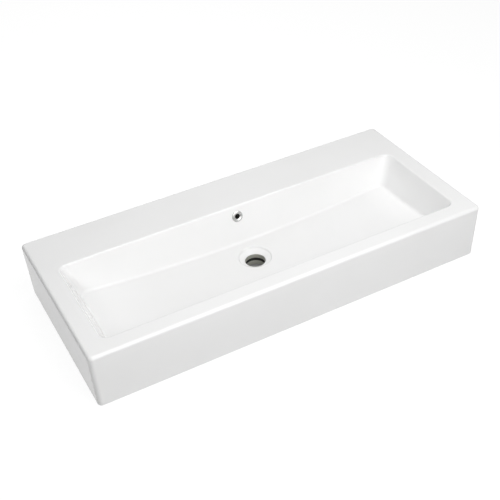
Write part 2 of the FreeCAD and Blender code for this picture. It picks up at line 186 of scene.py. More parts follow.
# Studio
WHITE = (1, 1, 1, 1)
FLOOR_SIZE = 14
FLOOR_PALE = (0.45, 0.45, 0.45, 1)
FLOOR_SHADED = (0.17, 0.17, 0.17, 1)
FLOOR_GLOW_SHARE = 0.9
COVERED_SHARE = 0.11
WORLD_FILL = 0.05
LAMPS = (
    # name, degrees right of the front, degrees up, distance, size, watts
    ("left_box", -50, 34, 2.6, 0.5, 10.5),
    ("front_box", 0, 15, 2.6, 2.4, 25.8),
    ("top_box", 20, 60, 1.8, 1.6, 21.7),
    ("rear_box", 180, 50, 2.6, 2.0, 23.6),
)

# Camera, fitted to the straight edges of the basin in the photograph
IMAGE_PIXELS = 500
SENSOR_WIDTH = 36
FOCAL_PIXELS = 896.097
SHIFT_RIGHT_PIXELS, SHIFT_UP_PIXELS = -16.735, 4.489
CAMERA_AZIMUTH = math.radians(-27.927)
CAMERA_ELEVATION = math.radians(37.985)
CAMERA_ROLL = math.radians(-2.485)
CAMERA_ASIDE, CAMERA_ABOVE, CAMERA_DISTANCE = 0.026622, 0.041739, 2.211084


# Outlines of the basin, seen from above

def rounded_outline(half_width, front, rear, radius):
    """Points round a level rounded rectangle, counter-clockwise, from its front right corner."""
    corners = (
        (half_width - radius, front + radius, -math.pi / 2),
        (half_width - radius, rear - radius, 0),
        (radius - half_width, rear - radius, math.pi / 2),
        (radius - half_width, front + radius, math.pi),
    )
    arcs = []
    for x, y, start in corners:
        turn = start + np.linspace(0, math.pi / 2, CORNER_STEPS + 1)
        arcs.append(np.stack((x + radius * np.cos(turn), y + radius * np.sin(turn)), axis=1))
    points = []
    for arc, following, steps in zip(arcs, arcs[1:] + arcs[:1], (END_STEPS, LONG_STEPS) * 2):
        share = np.linspace(0, 1, steps + 1)[1:-1, None]
        points += [arc, arc[-1] + share * (following[0] - arc[-1])]
    return np.concatenate(points)


def outline_directions():
    """The outward direction at each point of a rounded rectangle's outline."""
    turns = []
    for quarter, steps in enumerate((END_STEPS, LONG_STEPS) * 2):
        start = (quarter - 1) * math.pi / 2
        turns += [start + np.linspace(0, math.pi / 2, CORNER_STEPS + 1)]
        turns += [np.full(steps - 1, start + math.pi / 2)]
    turn = np.concatenate(turns)
    return np.stack((np.cos(turn), np.sin(turn)), axis=1)


OUTWARD = outline_directions()
ROUND_COUNT = len(OUTWARD)


class LeaningWall:
    """Four walls that each lean by a share of their height, with rounded upright corners."""

    def __init__(self, section, leans, radius):
        half_width, front, rear = section
        side_lean, front_lean, rear_lean = leans
        self.top = rounded_outline(half_width, front, rear, radius)
        lowered = (half_width - side_lean * HEIGHT, front + front_lean * HEIGHT, rear - rear_lean * HEIGHT)
        self.foot = rounded_outline(*lowered, radius)
        long_lean = np.where(OUTWARD[:, 1] < 0, front_lean, rear_lean)
        self.lean = np.abs(OUTWARD[:, 0]) * side_lean + np.abs(OUTWARD[:, 1]) * long_lean

    def at(self, height):
        """The outline at a height, which may differ from point to point."""
        share = ((HEIGHT - height) / HEIGHT * np.ones(ROUND_COUNT))[:, None]
        return self.top + share * (self.foot - self.top)

    def ring(self, height, out=0):
        """One ring of points at a height, moved outward from the wall."""
        plan = self.at(height) + OUTWARD * (out * np.ones(ROUND_COUNT))[:, None]
        return np.column_stack((plan, height * np.ones(ROUND_COUNT)))

    def rounded(self, height, arrive, leave, radius):
        """Rings that round a sharp edge of the section, which lies on the wall at a height."""
        arc = corner_arc(arrive, leave, radius)
        return [self.ring(height + rise, out - self.lean * rise) for out, rise in arc]

    def up(self):
        return np.column_stack((self.lean, np.ones(ROUND_COUNT)))


def level(direction):
    """The same level direction, outward or inward, at every point of an outline."""
    return np.column_stack((direction * np.ones(ROUND_COUNT), np.zeros(ROUND_COUNT)))


def corner_arc(arrive, leave, radius):
    """Points of an arc that rounds the corner between two directions, measured from the corner."""
    radius = np.reshape(radius, (-1, 1))
    arrive = arrive / np.linalg.norm(arrive, axis=1)[:, None]
    leave = leave / np.linalg.norm(leave, axis=1)[:, None]
    cross = arrive[:, 0] * leave[:, 1] - arrive[:, 1] * leave[:, 0]
    side = np.sign(cross)
    turn = np.arctan2(np.abs(cross), (arrive * leave).sum(axis=1))
    inward = np.column_stack((-arrive[:, 1], arrive[:, 0])) * side[:, None]
    centre = radius * inward - arrive * radius * np.tan(turn / 2)[:, None]
    for share in np.linspace(0, 1, ARC_STEPS + 1):
        cos, sin = np.cos(turn * share), np.sin(turn * share) * side
        along = inward[:, 0] * cos - inward[:, 1] * sin
        up = inward[:, 0] * sin + inward[:, 1] * cos
        spoke = np.column_stack((along, up))
        point = centre - radius * spoke
        yield point[:, 0], point[:, 1]


# Bowl floor

def floor_height(plan, thickness=0.0):
    """The dished floor's height, or that of its underside a thickness below."""
    centre = FLOOR_HEIGHT + FLOOR_CROSS_RADIUS
    across = centre - np.sqrt((FLOOR_CROSS_RADIUS + thickness) ** 2 - plan[:, 1] ** 2)
    axis = FLOOR_HEIGHT + FLOOR_LONG_RADIUS
    return axis - np.sqrt((axis - across) ** 2 - plan[:, 0] ** 2)


def floor_slope(plan, outward, thickness=0.0):
    """How steeply the floor rises in a direction."""
    step = DRAIN_EDGE_RADIUS
    ahead = floor_height(plan + outward * step, thickness)
    behind = floor_height(plan - outward * step, thickness)
    return (ahead - behind) / (2 * step)


def crease_rings(wall, thickness, radius):
    """Rings that round the crease between a wall and the floor, from the wall down."""
    height = np.full(ROUND_COUNT, FLOOR_HEIGHT)
    for _ in range(ARC_STEPS):
        height = floor_height(wall.at(height), thickness)
    slope = floor_slope(wall.at(height), OUTWARD, thickness)
    inward = np.column_stack((-np.ones(ROUND_COUNT), -slope))
    return wall.rounded(height, -wall.up(), inward, radius)


def drain_directions():
    """Outward directions round the drain, one for each point of an outline."""
    first = CORNER_STEPS + END_STEPS / 2
    turn = (np.arange(ROUND_COUNT) - first) * 2 * math.pi / ROUND_COUNT
    return np.stack((np.cos(turn), np.sin(turn)), axis=1)


SPOKES = drain_directions()


def drain_ring(radius, height):
    """One ring of points round the drain. Its radius and height may differ from point to point."""
    plan = SPOKES * (radius * np.ones(ROUND_COUNT))[:, None]
    return np.column_stack((plan, height * np.ones(ROUND_COUNT)))


def drain_corner(radius, height, arrive, leave, rounding):
    """Rings that round a corner of the drain's section."""
    return [drain_ring(radius + out, height + up) for out, up in corner_arc(arrive, leave, rounding)]


def floor_rings(outer, inner, thickness=0.0):
    """Rings across the floor, between two rings that lie on it."""
    rings = []
    for share in np.linspace(0, 1, FLOOR_STEPS + 1)[1:-1]:
        plan = outer[:, :2] + share * (inner[:, :2] - outer[:, :2])
        rings.append(np.column_stack((plan, floor_height(plan, thickness))))
    return rings


def drain_rings():
    """Rings down the step and the seat, through the hole and round the boss under it."""
    seat_height = FLOOR_HEIGHT - SEAT_DEPTH
    ledge = seat_height + SEAT_FALL
    reach = np.full(ROUND_COUNT, SEAT_RADIUS)
    for _ in range(ARC_STEPS):
        reach = SEAT_RADIUS + (floor_height(SPOKES * reach[:, None]) - ledge) * STEP_LEAN_SHARE
    top = floor_height(SPOKES * reach[:, None])
    slope = floor_slope(SPOKES * reach[:, None], SPOKES)
    over_floor = np.column_stack((-np.ones(ROUND_COUNT), -slope))
    down_step = np.column_stack((-STEP_LEAN_SHARE * np.ones(ROUND_COUNT), -np.ones(ROUND_COUNT)))
    down_seat = np.tile((DRAIN_RADIUS - SEAT_RADIUS, -SEAT_FALL), (ROUND_COUNT, 1))
    down = np.column_stack((np.zeros(ROUND_COUNT), -np.ones(ROUND_COUNT)))
    rings = drain_corner(reach, top, over_floor, down_step, SHOULDER_RADIUS)
    rings += drain_corner(SEAT_RADIUS, ledge, down_step, down_seat, LEDGE_RADIUS)
    rings += drain_corner(DRAIN_RADIUS, seat_height, down_seat, down, DRAIN_EDGE_RADIUS)
    rings += drain_corner(DRAIN_RADIUS, BOSS_FOOT, down, level(1), FOOT_EDGE_RADIUS)
    rings += drain_corner(BOSS_RADIUS, BOSS_FOOT, level(1), -down, BOSS_EDGE_RADIUS)
    return rings + [drain_ring(BOSS_RADIUS, floor_height(SPOKES * BOSS_RADIUS, FLOOR_THICKNESS))]


# Ceramic body

def apron(inset):
    """The apron's faces, which taper to the foot at the front and the ends, moved inward by an inset."""
    taper = WALL_TAPER / HEIGHT
    section = (HALF_WIDTH - inset, FRONT + inset, REAR - inset)
    return LeaningWall(section, (taper, taper, 0), CORNER_RADIUS)


def bowl(wall):
    """The bowl's walls, moved outward by a wall's thickness."""
    end_shift = wall * END_SLANT_SHARE
    long_shift = wall * LONG_SLANT_SHARE
    section = (
        HALF_WIDTH - SIDE_RIM + end_shift,
        FRONT + FRONT_RIM - long_shift,
        REAR - REAR_DECK + long_shift,
    )
    leans = (END_LEAN_SHARE, LONG_LEAN_SHARE, LONG_LEAN_SHARE)
    return LeaningWall(section, leans, BOWL_CORNER_RADIUS + wall)


def ceramic_rings():
    """The section's rings in order: up the apron, down the bowl, through the drain and back under it."""
    outside, inside = apron(0), apron(APRON_WALL)
    basin, shell = bowl(0), bowl(BOWL_WALL)
    ceiling = HEIGHT - RIM_THICKNESS
    rings = outside.rounded(0, level(1), outside.up(), FOOT_EDGE_RADIUS)
    rings += outside.rounded(HEIGHT, outside.up(), level(-1), TOP_EDGE_RADIUS)
    rings += basin.rounded(HEIGHT, level(-1), -basin.up(), BOWL_EDGE_RADIUS)
    rings += crease_rings(basin, 0.0, CREASE_RADIUS)
    drain = drain_rings()
    rings += floor_rings(rings[-1], drain[0])
    rings += drain
    below = crease_rings(shell, FLOOR_THICKNESS, CREASE_RADIUS + FLOOR_THICKNESS)[::-1]
    rings += floor_rings(drain[-1], below[0], FLOOR_THICKNESS)
    rings += below
    rings += [shell.ring(ceiling)]
    rings += inside.rounded(ceiling, level(1), -inside.up(), CEILING_RADIUS)
    rings += inside.rounded(0, -inside.up(), level(1), FOOT_INNER_RADIUS)
    return rings


def closed_loft(name, rings):
    """A mesh of quads through closed rings, the last joined to the first."""
    count = len(rings)
    faces = []
    for row in range(count):
        below, above = row * ROUND_COUNT, (row + 1) % count * ROUND_COUNT
        for place in range(ROUND_COUNT):
            beside = (place + 1) % ROUND_COUNT
            faces.append((below + place, below + beside, above + beside, above + place))
    mesh = bpy.data.meshes.new(name)
    mesh.from_pydata(np.concatenate(rings).tolist(), [], faces)
    return mesh


def behind_wall(depth, height):
    """The place, in Y, of a point that lies some depth behind the bowl's rear wall."""
    lean = (HEIGHT - height) * LONG_LEAN_SHARE
    return REAR - REAR_DECK - lean + depth * LONG_SLANT_SHARE


def prism(name, corners, width, rounds=0.0, behind=None):
    """A block along X with a section in Y and Z. Its edges behind a plane may be rounded."""
    made = bmesh.new()
    sides = [[made.verts.new((x, y, z)) for y, z in corners] for x in (-width / 2, width / 2)]
    made.faces.new(sides[0])
    made.faces.new(sides[1][::-1])
    for place in range(len(corners)):
        beside = (place + 1) % len(corners)
        made.faces.new((sides[0][place], sides[1][place], sides[1][beside], sides[0][beside]))
    bmesh.ops.recalc_face_normals(made, faces=made.faces)
    if rounds:
        edges = [edge for edge in made.edges if min(vert.co.y for vert in edge.verts) > behind]
        bmesh.ops.bevel(made, geom=edges, offset=rounds, segments=ARC_STEPS,
                        profile=ROUND_BEVEL_SHARE, affect="EDGES")
    return finish_bmesh(name, made)


def cylinder(name, radius, low, high, place=Matrix()):
    """A round bar along a place's own Z axis, to cut a hole with."""
    made = bmesh.new()
    bmesh.ops.create_cone(made, cap_ends=True, segments=TURN_STEPS, radius1=radius, radius2=radius,
                          depth=high - low, matrix=place @ Matrix.Translation((0, 0, (low + high) / 2)))
    return finish_bmesh(name, made)


def finish_bmesh(name, made):
    """Turn a mesh under construction into a plain one."""
    mesh = bpy.data.meshes.new(name)
    made.to_mesh(mesh)
    made.free()
    return mesh


def add_object(mesh):
    piece = bpy.data.objects.new(mesh.name, mesh)
    bpy.context.scene.collection.objects.link(piece)
    return piece


def evaluated_mesh(piece, name):
    """The mesh that a piece's modifiers give, as a plain mesh."""
    bpy.context.view_layer.update()
    seen = piece.evaluated_get(bpy.context.evaluated_depsgraph_get())
    mesh = bpy.data.meshes.new_from_object(seen)
    mesh.name = name
    return mesh


def settle(piece, name):
    """Turn a piece's modifiers into plain mesh."""
    mesh = evaluated_mesh(piece, name)
    piece.modifiers.clear()
    piece.data = mesh
    return piece


def combine(piece, mesh, operation):
    """Join a tool to a piece, or cut it out."""
    tool = add_object(mesh)
    change = piece.modifiers.new(mesh.name, "BOOLEAN")
    change.operation = operation
    change.solver = "EXACT"
    change.object = tool
    settle(piece, piece.name)
    bpy.data.objects.remove(tool)


def smooth_faces(piece):
    """Shade a piece smooth, with sharp edges kept and flat faces left flat."""
    mesh = piece.data
    mesh.polygons.foreach_set("use_smooth", np.ones(len(mesh.polygons), dtype=bool))
    mesh.set_sharp_from_angle(angle=SMOOTH_LIMIT)
    weighted = piece.modifiers.new("flat_faces", "WEIGHTED_NORMAL")
    weighted.keep_sharp = True
    settle(piece, piece.name)


def overflow_place():
    """Where the overflow trim sits: its own +Z runs out of the wall along its joint's axis."""
    axis = Vector(frame["joints"][0]["axis"])
    low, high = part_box("overflow_gasket")
    seat = (low + high) / 2 - axis * (SEAT_GAP + GASKET_THICKNESS / 2)
    turn = Vector((0, 0, 1)).rotation_difference(axis)
    return Matrix.Translation(seat) @ turn.to_matrix().to_4x4()


def duct_section(skin):
    """The overflow passage's section, or its housing's with a skin round it."""
    top = HEIGHT - OVERFLOW_DROP + DUCT_HEADROOM + skin
    low = CAVITY_FOOT - skin
    near = BOWL_WALL / 2 if skin else BOWL_WALL
    far = BOWL_WALL + DUCT_GAP + skin
    bend = FLOOR_HEIGHT - FLOOR_THICKNESS / 2 if skin else CAVITY_TOP
    mouth = SEAT_RADIUS - DRAIN_EDGE_RADIUS if skin else BOSS_RADIUS / 2
    return [
        (behind_wall(near, top), top),
        (behind_wall(far, top), top),
        (behind_wall(far, low), low),
        (mouth, low),
        (mouth, bend),
        (behind_wall(near, bend), bend),
    ]


def ceramic_body():
    """The fired basin: one closed loft, with the overflow passage added and cut."""
    piece = add_object(closed_loft("ceramic_basin", ceramic_rings()))
    rear_face = behind_wall(BOWL_WALL + DUCT_GAP, CAVITY_FOOT)
    housing_width = DUCT_WIDTH + 2 * DUCT_SKIN
    housing = prism("duct_housing", duct_section(DUCT_SKIN), housing_width, DUCT_EDGE_RADIUS, rear_face)
    combine(piece, housing, "UNION")
    combine(piece, prism("duct", duct_section(0.0), DUCT_WIDTH), "DIFFERENCE")
    combine(piece, cylinder("cavity", CAVITY_RADIUS, CAVITY_FOOT, CAVITY_TOP), "DIFFERENCE")
    depth = BOWL_WALL + DUCT_GAP / 2
    hole = cylinder("overflow_hole", OVERFLOW_RADIUS, -depth, depth, overflow_place())
    combine(piece, hole, "DIFFERENCE")
    smooth_faces(piece)
    return piece


# Node trees

def add_node(tree, kind, inputs=None, **settings):
    """Add a node, with its inputs linked to sockets or set to values."""
    made = tree.nodes.new(kind)
    for name, value in settings.items():
        setattr(made, name, value)
    for place, value in (inputs or {}).items():
        if isinstance(value, bpy.types.NodeSocket):
            tree.links.new(value, made.inputs[place])
        else:
            made.inputs[place].default_value = value
    return made


def work_out(tree, operation, first, second):
    """The socket that gives one sum of two values or sockets."""
    return add_node(tree, "ShaderNodeMath", {0: first, 1: second}, operation=operation).outputs["Value"]


def new_group(name, kind, inputs, outputs):
    """A node group with named inputs and outputs, and its first and last nodes."""
    tree = bpy.data.node_groups.new(name, kind)
    for way, sockets in (("INPUT", inputs), ("OUTPUT", outputs)):
        for label, socket in sockets.items():
            tree.interface.new_socket(label, in_out=way, socket_type=socket)
    return tree, tree.nodes.new("NodeGroupInput").outputs, tree.nodes.new("NodeGroupOutput")


# Overflow trim

def rounded_profile(corners):
    """A closed outline of radius and height, through corners that each have their own rounding."""
    sharp = np.array([corner[:2] for corner in corners])
    rounds = np.array([corner[2] for corner in corners])
    arrive = sharp - np.roll(sharp, 1, axis=0)
    leave = np.roll(sharp, -1, axis=0) - sharp
    arcs = np.stack([np.column_stack(step) for step in corner_arc(arrive, leave, rounds)], axis=1)
    return np.concatenate([corner + arc for corner, arc in zip(sharp, arcs)])


def turned(tree, source):
    """Nodes that turn an outline round Z. Its X is the radius past the path's, and its Y points down."""
    outline = add_node(tree, "GeometryNodeMeshToCurve", {"Mesh": source["Outline"]})
    circle = add_node(tree, "GeometryNodeCurvePrimitiveCircle",
                      {"Resolution": source["Steps"], "Radius": source["Path Radius"]})
    path = add_node(tree, "GeometryNodeSetCurveNormal", {"Curve": circle.outputs["Curve"]}, mode="Z_UP")
    sweep = add_node(tree, "GeometryNodeCurveToMesh",
                     {"Curve": path.outputs["Curve"], "Profile Curve": outline.outputs["Curve"]})
    return sweep.outputs["Mesh"]


TURNING_INPUTS = {
    "Outline": "NodeSocketGeometry",
    "Steps": "NodeSocketInt",
    "Path Radius": "NodeSocketFloat",
    "Finish": "NodeSocketMaterial",
}
TURNING_OUTPUTS = {"Mesh": "NodeSocketGeometry"}


def end_tree(tree, shape, source, last):
    """Finish a tree with one plain mesh in one material."""
    plain = add_node(tree, "GeometryNodeRealizeInstances", {"Geometry": shape})
    dressed = add_node(tree, "GeometryNodeSetMaterial",
                       {"Geometry": plain.outputs["Geometry"], "Material": source["Finish"]})
    tree.links.new(dressed.outputs["Geometry"], last.inputs["Mesh"])


def turning_tree():
    """A tree for a turned piece."""
    tree, source, last = new_group("turned_piece", "GeometryNodeTree", TURNING_INPUTS, TURNING_OUTPUTS)
    end_tree(tree, turned(tree, source), source, last)
    return tree


def collar_tree():
    """A tree for the collar: a turned tube, slotted into spring legs and split on one side."""
    slot_inputs = {
        "Slots": "NodeSocketInt",
        "Slot Size": "NodeSocketVector",
        "Slot Place": "NodeSocketVector",
        "Split Size": "NodeSocketVector",
        "Split Place": "NodeSocketVector",
    }
    inputs = TURNING_INPUTS | slot_inputs
    tree, source, last = new_group("slotted_collar", "GeometryNodeTree", inputs, TURNING_OUTPUTS)
    blocks = []
    for cut in ("Slot", "Split"):
        cube = add_node(tree, "GeometryNodeMeshCube", {"Size": source[f"{cut} Size"]})
        moved = add_node(tree, "GeometryNodeTransform",
                         {"Geometry": cube.outputs["Mesh"], "Translation": source[f"{cut} Place"]})
        blocks.append(moved.outputs["Geometry"])
    points = add_node(tree, "GeometryNodePoints", {"Count": source["Slots"]})
    index = add_node(tree, "GeometryNodeInputIndex").outputs["Index"]
    share = work_out(tree, "DIVIDE", index, source["Slots"])
    turn = add_node(tree, "ShaderNodeCombineXYZ", {"Z": work_out(tree, "MULTIPLY", share, 2 * math.pi)})
    slots = add_node(tree, "GeometryNodeInstanceOnPoints", {
        "Points": points.outputs["Points"], "Instance": blocks[0], "Rotation": turn.outputs["Vector"],
    })
    tube = turned(tree, source)
    cut = add_node(tree, "GeometryNodeMeshBoolean", {"Mesh 1": tube}, operation="DIFFERENCE")
    for tool in (slots.outputs["Instances"], blocks[1]):
        tree.links.new(tool, cut.inputs["Mesh 2"])
    end_tree(tree, cut.outputs["Mesh"], source, last)
    return tree


def weld(mesh):
    """Merge points that lie together, and turn the faces outwards."""
    made = bmesh.new()
    made.from_mesh(mesh)
    bmesh.ops.remove_doubles(made, verts=made.verts, dist=SAME_POINT)
    bmesh.ops.recalc_face_normals(made, faces=made.faces)
    made.to_mesh(mesh)
    made.free()


def make_trim(name, corners, tree, values):
    """Make one piece of the trim from its outline, and seat it in the overflow hole."""
    outline = rounded_profile(corners)
    points = [(radius - values["Path Radius"], -height, 0) for radius, height in outline]
    edges = [(place, (place + 1) % len(points)) for place in range(len(points))]
    mesh = bpy.data.meshes.new(name)
    mesh.from_pydata(points, edges, [])
    weld(mesh)
    piece = add_object(mesh)
    change = piece.modifiers.new(name, "NODES")
    change.node_group = tree
    for socket in tree.interface.items_tree:
        if socket.in_out == "INPUT" and socket.name in values:
            change[socket.identifier] = values[socket.name]
    settle(piece, name)
    piece.data.materials.clear()
    piece.data.materials.append(values["Finish"])
    weld(piece.data)
    piece.data.transform(overflow_place())
    smooth_faces(piece)
    return piece


def overflow_ring(tree, finish):
    """The trim ring: a domed flange, a flared mouth, and a tube with a bead at its inner end."""
    lip = RING_RADIUS - RING_LIP_WIDTH
    corners = [
        (RING_BORE_RADIUS, -TUBE_LENGTH, SMALL_ROUND),
        (BEAD_RADIUS, -TUBE_LENGTH, SMALL_ROUND),
        (BEAD_RADIUS, BEAD_WIDTH - TUBE_LENGTH, SMALL_ROUND),
        (TUBE_RADIUS, BEAD_WIDTH - TUBE_LENGTH, 0),
        (TUBE_RADIUS, GASKET_TOP, 0),
        (lip, GASKET_TOP, 0),
        (lip, RING_LIP_GAP, SMALL_ROUND),
        (RING_RADIUS, RING_LIP_GAP, SMALL_ROUND),
        (RING_RADIUS, GASKET_TOP + RING_EDGE_HEIGHT, RING_EDGE_ROUND),
        (RING_CREST_RADIUS, RING_TOP, RING_CREST_ROUND),
        (RING_BORE_RADIUS, RING_TOP - RING_MOUTH_DEPTH, RING_MOUTH_ROUND),
    ]
    return make_trim("overflow_trim_ring", corners, tree,
                     {"Steps": TURN_STEPS, "Path Radius": TUBE_RADIUS, "Finish": finish})


def overflow_gasket(tree, finish):
    """The rubber washer between the ring's flange and the ceramic."""
    corners = [
        (OVERFLOW_RADIUS, SEAT_GAP, SMALL_ROUND),
        (GASKET_RADIUS, SEAT_GAP, SMALL_ROUND),
        (GASKET_RADIUS, GASKET_TOP, SMALL_ROUND),
        (OVERFLOW_RADIUS, GASKET_TOP, SMALL_ROUND),
    ]
    return make_trim("overflow_trim_gasket", corners, tree,
                     {"Steps": TURN_STEPS, "Path Radius": OVERFLOW_RADIUS, "Finish": finish})


def overflow_collar(tree, finish):
    """The split collar on the ring's tube, with spring legs that grip the overflow hole."""
    inner, outer = TUBE_RADIUS + FIT_GAP, OVERFLOW_RADIUS - FIT_GAP
    low, high = BEAD_WIDTH + FIT_GAP - TUBE_LENGTH, GASKET_TOP - FIT_GAP
    corners = [
        (inner, low, SMALL_ROUND),
        (outer, low, COLLAR_NOSE_ROUND),
        (outer, high, SMALL_ROUND),
        (inner, high, SMALL_ROUND),
    ]
    reach = 2 * outer
    values = {
        "Steps": TURN_STEPS,
        "Path Radius": inner,
        "Finish": finish,
        "Slots": COLLAR_SLOTS,
        "Slot Size": (SLOT_WIDTH, reach, 2 * SLOT_LENGTH),
        "Slot Place": (0, reach / 2, low),
        "Split Size": (SPLIT_WIDTH, reach, reach),
        "Split Place": (0, reach / 2, (low + high) / 2),
    }
    return make_trim("overflow_trim_collar", corners, tree, values)


# Finishes

def uneven_surface():
    """A group for the slow or fine unevenness that cast, moulded and plated surfaces share."""
    inputs = {
        "Vector": "NodeSocketVector",
        "Size": "NodeSocketFloat",
        "Detail": "NodeSocketFloat",
        "Low": "NodeSocketFloat",
        "High": "NodeSocketFloat",
    }
    outputs = {"Value": "NodeSocketFloat", "Height": "NodeSocketFloat"}
    tree, source, last = new_group("uneven_surface", "ShaderNodeTree", inputs, outputs)
    scale = work_out(tree, "DIVIDE", 1.0, source["Size"])
    noise = add_node(tree, "ShaderNodeTexNoise",
                     {"Vector": source["Vector"], "Scale": scale, "Detail": source["Detail"]})
    spread = add_node(tree, "ShaderNodeMapRange", {
        "Value": noise.outputs["Fac"], "From Min": NOISE_LOW_SHARE, "From Max": NOISE_HIGH_SHARE,
        "To Min": source["Low"], "To Max": source["High"],
    })
    tree.links.new(spread.outputs["Result"], last.inputs["Value"])
    tree.links.new(noise.outputs["Fac"], last.inputs["Height"])
    return tree


class Finish:
    """One material: its principled shader, Object coordinates, and uneven layers that it places."""

    def __init__(self, name, uneven):
        self.material = bpy.data.materials.new(name)
        self.material.use_nodes = True
        self.tree = self.material.node_tree
        self.shader = self.tree.nodes["Principled BSDF"]
        self.vector = add_node(self.tree, "ShaderNodeTexCoord").outputs["Object"]
        self.group = uneven

    def node(self, kind, inputs=None, **settings):
        return add_node(self.tree, kind, inputs, **settings)

    def constant(self, **values):
        """Set values that are the same all over on the shader's own sockets."""
        for label, value in values.items():
            self.shader.inputs[label.replace("_", " ")].default_value = value

    def link(self, socket, label):
        self.tree.links.new(socket, self.shader.inputs[label])

    def uneven(self, size, low=0.0, high=1.0, detail=PLAIN_DETAIL, vector=None):
        """One uneven layer, with features of a size and values from low to high."""
        layer = self.node("ShaderNodeGroup", node_tree=self.group)
        self.tree.links.new(vector or self.vector, layer.inputs["Vector"])
        for label, value in (("Size", size), ("Detail", detail), ("Low", low), ("High", high)):
            layer.inputs[label].default_value = value
        return layer.outputs

    def from_axis(self, place):
        """How far a place, given by its separate parts, lies from the Z axis."""
        flat = self.node("ShaderNodeCombineXYZ", {"X": place["X"], "Y": place["Y"]}).outputs["Vector"]
        return self.node("ShaderNodeVectorMath", {0: flat}, operation="LENGTH").outputs["Value"]

    def shades(self, share, dark, light):
        """A colour between two shades, by a mask."""
        mix = self.node("ShaderNodeMix", {"Factor": share}, data_type="RGBA")
        for label, colour in (("A", dark), ("B", light)):
            socket = next(place for place in mix.inputs if place.enabled and place.name == label)
            if isinstance(colour, bpy.types.NodeSocket):
                self.tree.links.new(colour, socket)
            else:
                socket.default_value = colour
        return next(place for place in mix.outputs if place.enabled)

    def bump(self, height, depth):
        """Raise the surface by a height, up to a depth."""
        made = self.node("ShaderNodeBump", {"Height": height, "Distance": depth, "Strength": 1.0})
        self.link(made.outputs["Normal"], "Normal")


def glaze(uneven):
    """White glaze: glossy, a little cloudy and hazed, and wavy where it ran."""
    finish = Finish("white_glaze", uneven)
    cloud = finish.uneven(CLOUD_SIZE)
    finish.link(finish.shades(cloud["Value"], GLAZE_THIN, GLAZE_THICK), "Base Color")
    finish.link(finish.uneven(HAZE_SIZE, *GLAZE_ROUGHNESS)["Value"], "Roughness")
    finish.bump(finish.uneven(RUN_SIZE)["Height"], RUN_DEPTH)
    finish.constant(IOR=GLAZE_IOR)
    return finish.material


def raw_clay(uneven):
    """Unglazed clay of the foot, the hollow and the bore: pale slip, grey where the foot was ground, and
    the same grey painted round the waste hole as shade.
    """
    finish = Finish("raw_clay", uneven)
    place = finish.node("ShaderNodeSeparateXYZ", {"Vector": finish.vector}).outputs
    # Painted shade: round the waste hole the clay takes the grey, for the dark inside the hole
    shaded_bore = work_out(finish.tree, "LESS_THAN", finish.from_axis(place), CAVITY_RADIUS + DUCT_SKIN)
    ground = work_out(finish.tree, "LESS_THAN", place["Z"], FOOT_EDGE_RADIUS)
    grain = finish.uneven(GRAIN_SIZE, detail=GRAIN_DETAIL)
    slip = finish.shades(grain["Value"], SLIP_DARK, SLIP_LIGHT)
    clay_and_shade = finish.shades(grain["Value"], CLAY_AND_SHADE_DARK, CLAY_AND_SHADE_LIGHT)
    ground_or_shaded_bore = work_out(finish.tree, "MAXIMUM", shaded_bore, ground)
    finish.link(finish.shades(ground_or_shaded_bore, slip, clay_and_shade), "Base Color")
    finish.link(finish.uneven(RUN_SIZE, *CLAY_ROUGHNESS)["Value"], "Roughness")
    finish.bump(grain["Height"], GRAIN_DEPTH)
    return finish.material


def passage_painted_shade(uneven):
    """Raw clay inside the overflow passage, painted near black as the shade in there, with a fine grain."""
    finish = Finish("passage_painted_shade", uneven)
    grain = finish.uneven(GRAIN_SIZE, detail=GRAIN_DETAIL)
    finish.link(finish.shades(grain["Value"], PASSAGE_SHADE_DARK, PASSAGE_SHADE_LIGHT), "Base Color")
    finish.link(finish.uneven(RUN_SIZE, *CLAY_ROUGHNESS)["Value"], "Roughness")
    finish.bump(grain["Height"], GRAIN_DEPTH)
    return finish.material


def chrome(uneven):
    """Chrome plate on a turned ring: fine circular polishing lines under faint smears."""
    finish = Finish("chrome_plate", uneven)
    place = overflow_place()
    own = finish.node("ShaderNodeMapping", {
        "Vector": finish.vector, "Location": place.to_translation(), "Rotation": place.to_euler(),
    }, vector_type="TEXTURE")
    part = finish.node("ShaderNodeSeparateXYZ", {"Vector": own.outputs["Vector"]}).outputs
    turned_parts = {"X": finish.from_axis(part), "Y": part["Z"]}
    turned_place = finish.node("ShaderNodeCombineXYZ", turned_parts).outputs["Vector"]
    lines = finish.uneven(POLISH_SIZE, *CHROME_ROUGHNESS, vector=turned_place)
    smear = finish.uneven(SMEAR_SIZE)
    finish.link(finish.shades(smear["Value"], CHROME_DARK, CHROME_LIGHT), "Base Color")
    finish.link(lines["Value"], "Roughness")
    finish.bump(lines["Height"], POLISH_DEPTH)
    finish.constant(Metallic=1.0)
    return finish.material


def rubber(uneven):
    """Matt black rubber with a bloomed, slightly grainy skin."""
    finish = Finish("matt_rubber", uneven)
    grain = finish.uneven(RUBBER_GRAIN_SIZE, detail=GRAIN_DETAIL)
    finish.link(finish.shades(grain["Value"], RUBBER_DARK, RUBBER_LIGHT), "Base Color")
    finish.link(finish.uneven(SMEAR_SIZE, *RUBBER_ROUGHNESS)["Value"], "Roughness")
    finish.bump(grain["Height"], POLISH_DEPTH)
    return finish.material


def nylon(uneven):
    """Moulded nylon, satin, with faint flow marks."""
    finish = Finish("moulded_nylon", uneven)
    flow = finish.uneven(SMEAR_SIZE)
    finish.link(finish.shades(flow["Value"], NYLON_DARK, NYLON_LIGHT), "Base Color")
    finish.link(finish.uneven(RUBBER_GRAIN_SIZE, *NYLON_ROUGHNESS)["Value"], "Roughness")
    finish.bump(flow["Height"], POLISH_DEPTH)
    return finish.material


